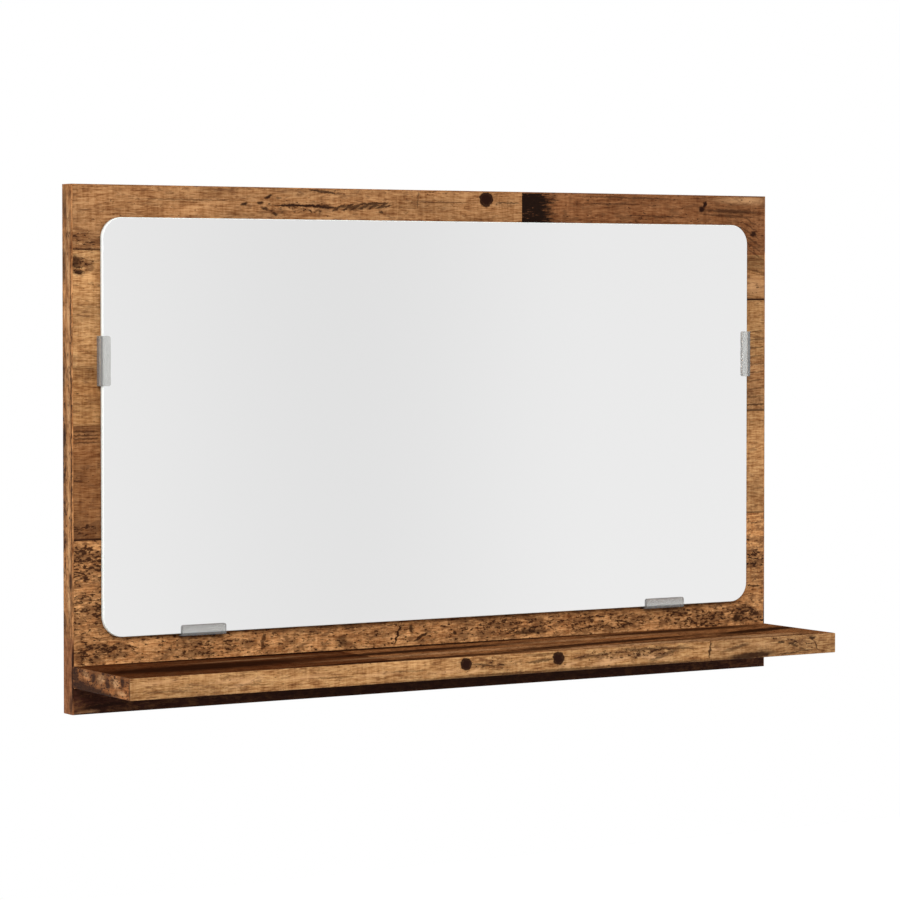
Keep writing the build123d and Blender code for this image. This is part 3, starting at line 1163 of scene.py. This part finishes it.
@dataclass
class MirrorPane:
    """The round-cornered mirror pane with its ground edge.

    Attributes:
        corner: the outline's corner radius, in millimetres.
        arris: how much the ground edge takes off each face.
        corner_steps: steps round one corner.
    """

    corner: float = 15.0
    arris: float = 0.4
    corner_steps: int = 24

    def ring(self, inset: np.ndarray) -> np.ndarray:
        """Points of the outline, drawn in by an inset.

        Each corner is an arc whose centre stands still while its radius shrinks by the
        inset, so a point is centre + (radius - inset) times the arc's direction.

        Args:
            inset: how far each ring is drawn in, in metres, one value a ring.

        Returns:
            An array of shape (rings, points, 2) with x and z.
        """
        low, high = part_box("mirror_glass")
        radius = self.corner * MM
        turn = np.linspace(0.0, math.pi / 2, self.corner_steps + 1)
        angles = np.concatenate([turn + quarter * math.pi / 2 for quarter in range(4)])
        centres = np.repeat(
            [(high.x - radius, high.z - radius), (low.x + radius, high.z - radius),
             (low.x + radius, low.z + radius), (high.x - radius, low.z + radius)],
            self.corner_steps + 1, axis=0,
        )
        outwards = np.stack([np.cos(angles), np.sin(angles)], axis=1)
        return centres[None] + (radius - inset)[:, None, None] * outwards[None]

    def build(self) -> Piece:
        """Builds the pane: its edge profile carried round the outline, closed by two faces.

        Returns:
            The pane.
        """
        low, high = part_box("mirror_glass")
        front, back = low.y, high.y
        edge = self.arris * MM
        soft = edge * 0.25  # the chamfer's two edges are broken over a quarter of it
        inset = np.array([edge, edge * 0.75, soft, 0.0, 0.0, soft, edge * 0.75, edge])
        depth = np.array([
            0.0, soft * 0.3, edge * 0.75, edge, -edge, -edge * 0.75, -soft * 0.3, 0.0,
        ])
        depth = np.where(np.arange(8) < 4, front + depth, back + depth)
        rings = self.ring(inset)
        count = rings.shape[1]
        y = np.broadcast_to(depth[:, None], rings.shape[:2])
        points = np.stack([rings[..., 0], y, rings[..., 1]], axis=-1).reshape(-1, 3)
        side = grid_faces(len(depth), count, closed=True)
        last = (len(depth) - 1) * count
        faces = [*side.tolist(), list(range(count)), list(range(last + count - 1, last - 1, -1))]
        pane = mesh_piece("mirror_pane", points, faces)
        make_normals_consistent(pane)
        dress(pane, GroundEdge().material(), MirrorSilver().material(),
              Coating("mirror_backing_paint", "#5B5E62", "#6A6D71", 1.2, 0.6).material())
        smooth = np.ones(len(faces), bool)
        smooth[-2:] = False
        pane.data.polygons.foreach_set("use_smooth", smooth)
        slots = np.zeros(len(faces), np.int32)
        slots[-2:] = (1, 2)
        pane.data.polygons.foreach_set("material_index", slots)
        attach(pane, "mirror_pane")
        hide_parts("mirror_glass")
        dress(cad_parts["mirror_safety_film"],
              Coating("safety_film", "#6F7378", "#85898E", 0.6, 0.45).material())
        return pane


def make_normals_consistent(piece: Piece) -> None:
    """Turns a closed mesh's faces outwards."""
    net = bmesh.new()
    net.from_mesh(piece.data)
    bmesh.ops.recalc_face_normals(net, faces=net.faces)
    net.to_mesh(piece.data)
    net.free()


class ClipSide(Enum):
    """The pane's edge that a clip holds: its node, and where +z of its own frame points."""

    LEFT = ("mirror_clip_left", (1.0, 0.0, 0.0))
    RIGHT = ("mirror_clip_right", (-1.0, 0.0, 0.0))
    BOTTOM_LEFT = ("mirror_clip_bottom_left", (0.0, 0.0, 1.0))
    BOTTOM_RIGHT = ("mirror_clip_bottom_right", (0.0, 0.0, 1.0))


@dataclass
class ClipSet:
    """The four clear clips, each a C section of foot, wall and lip, in millimetres.

    Attributes:
        foot: thickness of the foot behind the pane.
        wall: thickness of the wall beside it.
        lip: thickness of the lip over it.
        lip_reach: how far the lip reaches over the pane.
        foot_reach: how far the foot reaches behind it.
        height: how far the clip stands off the board.
        length: its length along the pane's edge.
        corner: radius of the lip's corners, seen from the front.
        edge: radius of the section's outer corners.
        inner: radius of its inner ones and of the foot.
        soft_edge: width of the bevel round both ends.
        arc_steps: points of each corner of the section.
        corner_steps: sections at each end.
    """

    foot: float = 0.9
    wall: float = 1.8
    lip: float = 1.3
    lip_reach: float = 6.0
    foot_reach: float = 14.0
    height: float = 6.6
    length: float = 35.0
    corner: float = 1.5
    edge: float = 0.45
    inner: float = 0.2
    soft_edge: float = 0.25
    arc_steps: int = 5
    corner_steps: int = 7

    def section(self) -> np.ndarray:
        """The C section's outline with its corners rounded.

        Every corner is an arc that starts and ends one radius away from it along its two
        sides, drawn as the quadratic curve a(1-t)^2 + 2ct(1-t) + bt^2 about the corner c.

        Returns:
            An array of shape (points, 2): reach over the pane, and height off the board.
        """
        w, lip_back = -self.wall, self.height - self.lip
        corners = np.array([
            (w, 0.0), (self.foot_reach, 0.0), (self.foot_reach, self.foot), (0.0, self.foot),
            (0.0, lip_back), (self.lip_reach, lip_back),
            (self.lip_reach, self.height), (w, self.height),
        ])
        small, edge = self.inner, self.edge
        radii = np.array([small, small, 0.35, small, small, edge, edge, edge * 1.6])
        before = np.roll(corners, 1, axis=0) - corners
        after = np.roll(corners, -1, axis=0) - corners
        before /= np.linalg.norm(before, axis=1, keepdims=True)
        after /= np.linalg.norm(after, axis=1, keepdims=True)
        start = corners + before * radii[:, None]
        end = corners + after * radii[:, None]
        t = np.linspace(0.0, 1.0, self.arc_steps)[None, :, None]
        arcs = (
            start[:, None] * (1 - t) ** 2 + 2 * corners[:, None] * t * (1 - t) + end[:,
                                                                                     None] * t ** 2
        )
        return arcs.reshape(-1, 2)

    def body(self) -> tuple[np.ndarray, list]:
        """Carries the section along the clip.

        Over the last stretch at both ends the lip draws back along a quarter circle, so
        its corners are round from the front: its reach loses r - sqrt(r^2 - s^2), where s
        is how far the place lies inside that stretch.

        Returns:
            Points (along, reach, height) in millimetres, and faces.
        """
        section = self.section()
        half = self.length / 2
        end = np.sin(np.linspace(0.0, math.pi / 2, self.corner_steps)) * self.corner
        along = np.concatenate([-half + self.corner - end[::-1], half - self.corner + end])
        inside = np.clip(np.abs(along) - (half - self.corner), 0.0, self.corner)
        loss = self.corner - np.sqrt(self.corner ** 2 - inside ** 2)
        is_lip = (section[:, 1] > self.foot + 0.5) & (section[:, 0] > 0.01)
        share = np.where(is_lip, section[:, 0] / self.lip_reach, 0.0)
        reach = section[None, :, 0] - share * loss[:, None]
        height = np.broadcast_to(section[None, :, 1], reach.shape)
        place = np.broadcast_to(along[:, None], reach.shape)
        points = np.stack([place, reach, height], axis=-1).reshape(-1, 3)
        count = len(section)
        last = (len(along) - 1) * count
        faces = grid_faces(len(along), count, closed=True).tolist()
        faces += [list(range(count)), list(range(last + count - 1, last - 1, -1))]
        return points, faces

    def build(self) -> list[Piece]:
        """Builds the clips where their nodes stand.

        Returns:
            The four clips.
        """
        plastic = ClearMoulding().material()
        points, faces = self.body()
        clips = []
        for side in ClipSide:
            node, towards = side.value
            low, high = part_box(node)
            middle = (low + high) / 2
            inner = np.array(middle)
            reach_axis = int(np.argmax(np.abs(towards)))
            sign = towards[reach_axis]
            inner[reach_axis] = (low if sign > 0 else high)[reach_axis] + sign * self.wall * MM
            along_axis = 2 if reach_axis == 0 else 0
            placed = np.zeros_like(points)
            placed[:, along_axis] = middle[along_axis] + points[:, 0] * MM
            placed[:, reach_axis] = inner[reach_axis] + sign * points[:, 1] * MM
            placed[:, 1] = high.y - points[:, 2] * MM
            clip = mesh_piece(node.replace("mirror_clip", "clear_clip"), placed, faces)
            make_normals_consistent(clip)
            bevel = clip.modifiers.new("soft ends", "BEVEL")
            bevel.width, bevel.segments, bevel.limit_method = self.soft_edge * MM, 2, "ANGLE"
            bevel.angle_limit = math.radians(60)
            clip.data.polygons.foreach_set("use_smooth", np.ones(len(clip.data.polygons), bool))
            dress(clip, plastic)
            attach(clip, "wall_panel")
            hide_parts(node)
            clips.append(clip)
        return clips


@dataclass
class Fixings:
    """Hanger plates, screws and dowels.

    Attributes:
        plate_spangle: size of the zinc's clouds on the plates, in millimetres.
        screw_spangle: their size on the screws.
    """

    plate_spangle: float = 7.0
    screw_spangle: float = 1.5

    def dress(self) -> None:
        """Gives the plates, screws and dowels their metals and wood."""
        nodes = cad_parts
        steel = ZincPlate(
            "pressed_steel_zinc_plated", "#96999C", "#BFC2C4", self.plate_spangle, 0.38
        ).material()
        screw = ZincPlate(
            "screw_steel_zinc_plated", "#A3A5A7", "#D2D3D3", self.screw_spangle, 0.28
        ).material()
        for side in ("left", "right"):
            dress(nodes[f"hanger_plate_{side}"], steel)
        for kind in ("clip_screws", "hanger_screws", "shelf_screws"):
            dress(nodes[kind], screw)
        dress(nodes["shelf_dowels"], BeechTurning().material())


# Studio


@dataclass(frozen=True)
class Viewpoint:
    """Where the photograph was taken from.

    Attributes:
        place: the camera's place in the frame.
        turn: how far it looks to the right of straight at the board, in degrees.
        tilt: how far it looks down.
        lens: its focal length, in millimetres.
        sensor: the sensor's width, in millimetres.
        drop: how far the lens is shifted down, as a share of the picture's side, which
            keeps the uprights nearly parallel as they are in the photograph.
    """

    place: tuple[float, float, float] = (-1.32846, -2.18015, 0.10873)
    turn: float = 31.7012
    tilt: float = 1.7101
    lens: float = 137.242
    sensor: float = 36.0
    drop: float = 0.06

    def set_up(self) -> None:
        """Makes the camera and looks through it."""
        data = bpy.data.cameras.new("camera")
        data.lens, data.sensor_width = self.lens, self.sensor
        data.shift_y = -self.drop
        data.clip_end = 100.0
        camera = bpy.data.objects.new("camera", data)
        camera.location = self.place
        camera.rotation_euler = (math.radians(90 - self.tilt), 0.0, math.radians(-self.turn))
        bpy.context.scene.collection.objects.link(camera)
        bpy.context.scene.camera = camera


@dataclass(frozen=True)
class Softbox:
    """A square studio lamp that looks at the middle of the object.

    It lights the object, but neither the mirror nor the clear plastic shows it.

    Attributes:
        name: the lamp's name.
        place: where it stands.
        size: the length of its sides.
        power: its power in watts.
    """

    name: str
    place: tuple[float, float, float]
    size: float
    power: float

    def set_up(self) -> None:
        """Makes the lamp and aims it."""
        data = bpy.data.lights.new(self.name, "AREA")
        data.shape, data.size, data.energy = "SQUARE", self.size, self.power
        lamp = bpy.data.objects.new(self.name, data)
        lamp.location = self.place
        lamp.rotation_euler = (-Vector(self.place)).to_track_quat("-Z", "Y").to_euler()
        lamp.visible_glossy = lamp.visible_transmission = False
        bpy.context.scene.collection.objects.link(lamp)


@dataclass
class Studio:
    """White surroundings, a pale floor well below the hanging mirror and soft lamps.

    Attributes:
        floor_level: the floor's height.
        floor_half: half the length of its sides.
        floor_glow: how bright it shines to the camera.
        floor_glow_mirrored: how bright it shines to mirror, metals and clear plastic.
        lamps: the lamps.
    """

    floor_level: float = -1.3
    floor_half: float = 5.0
    floor_glow: float = 0.85
    floor_glow_mirrored: float = 0.45
    lamps: tuple[Softbox, ...] = (
        Softbox("key_softbox", (-1.4, -2.6, 1.5), 1.6, 90.0),
        Softbox("fill_softbox", (2.0, -2.4, 0.6), 1.6, 22.0),
        Softbox("side_softbox", (-3.0, -0.7, 0.4), 1.6, 34.0),
    )

    def set_up(self) -> None:
        """Makes the world, the floor, the lamps and the camera."""
        scene = bpy.context.scene
        scene.view_settings.view_transform = "Standard"
        Viewpoint().set_up()
        for lamp in self.lamps:
            lamp.set_up()
        self.surround()
        self.floor()

    def surround(self) -> None:
        """White to the camera, the metals and the glass, softer as light on the object.

        What the mirror shows is a shade darker a little right of straight ahead and from
        eye level upwards. The light from below is weaker than the light from above.
        """
        world = bpy.data.worlds.new("white_studio")
        world.use_nodes = True
        bpy.context.scene.world = world
        tree = world.node_tree
        tree.nodes.clear()
        towards = add_node(tree, "TexCoord").outputs["Generated"]
        apart = add_node(tree, "SeparateXYZ", {0: towards})
        sideways = add_node(tree, "MapRange",
                            {"Value": apart.outputs[0], "From Min": 0.3, "From Max": 0.7})
        shown = add_node(tree, "ValToRGB", {0: sideways.outputs[0]})
        fill_ramp(shown, (
            (0.0, "#FDFDFD"), (0.3, "#FAFAFA"), (0.5, "#F2F2F2"), (0.66, "#FBFBFB"),
            (1.0, "#FFFFFF"),
        ), smooth=True)
        paler = add_node(tree, "MapRange", {
            "Value": apart.outputs[2], "From Min": -0.1, "From Max": 0.02, "To Min": 1.0,
            "To Max": 0.97,
        })
        shown = add_node(tree, "VectorMath", {0: shown.outputs[0], 3: paler.outputs[0]},
                         operation="SCALE")
        height = add_node(tree, "MapRange",
                          {"Value": apart.outputs[2], "From Min": -0.5, "From Max": 0.5})
        light = add_node(tree, "ValToRGB", {0: height.outputs[0]})
        fill_ramp(light, ((0.0, "#5A5A5A"), (1.0, "#B4B4B4")))
        rays = add_node(tree, "LightPath").outputs
        straight = add_node(tree, "Math", {
            0: rays["Is Glossy Ray"], 1: rays["Is Transmission Ray"],
        }, operation="MAXIMUM")
        seen = add_node(tree, "Mix", {
            FACTOR: straight.outputs[0], COLOUR_A: light.outputs[0], COLOUR_B: shown.outputs[0],
        }, data_type="RGBA")
        seen = add_node(tree, "Mix", {
            FACTOR: rays["Is Camera Ray"], COLOUR_A: seen.outputs[COLOUR_OUT],
            COLOUR_B: linear("#FFFFFF"),
        }, data_type="RGBA")
        ground = add_node(tree, "Background", {"Color": seen.outputs[COLOUR_OUT], "Strength": 1.0})
        add_node(tree, "OutputWorld", {"Surface": ground.outputs[0]})

    def floor(self) -> None:
        """A pale floor, white to the camera and pale grey to the metals and the glass."""
        half = self.floor_half
        corners = np.array([(-half, -half), (half, -half), (half, half), (-half, half)])
        points = np.column_stack([corners, np.full(4, self.floor_level)])
        floor = mesh_piece("studio_floor", points, [(0, 1, 2, 3)])
        material, tree = new_material("pale_floor")
        rays = add_node(tree, "LightPath").outputs
        white = add_node(tree, "Math", {
            0: rays["Is Glossy Ray"], 1: rays["Is Transmission Ray"],
        }, operation="MAXIMUM")
        glow = add_node(tree, "Math", {
            0: white.outputs[0], 1: self.floor_glow_mirrored,
        }, operation="MULTIPLY")
        glow = add_node(tree, "Math", {
            0: rays["Is Camera Ray"], 1: self.floor_glow, 2: glow.outputs[0],
        }, operation="MULTIPLY_ADD")
        shader = add_node(tree, "BsdfPrincipled", {
            "Base Color": linear("#E6E6E4"), "Roughness": 0.9,
            "Emission Color": linear("#FFFFFF"), "Emission Strength": glow.outputs[0],
        })
        finish_surface(tree, shader)
        dress(floor, material)


def main() -> None:
    """Builds the looks piece by piece and logs each."""
    logging.basicConfig(level=logging.INFO, format="%(message)s")
    Studio().set_up()
    BackBoard().dress()
    log.info("dressed the board and its banding")
    ShelfBoard().dress()
    log.info("dressed the shelf and its banding")
    pane = MirrorPane().build()
    log.info("built %s", pane.name)
    for clip in ClipSet().build():
        log.info("built %s", clip.name)
    Fixings().dress()
    log.info("dressed the fixings")


if __name__ == "__main__":
    main()
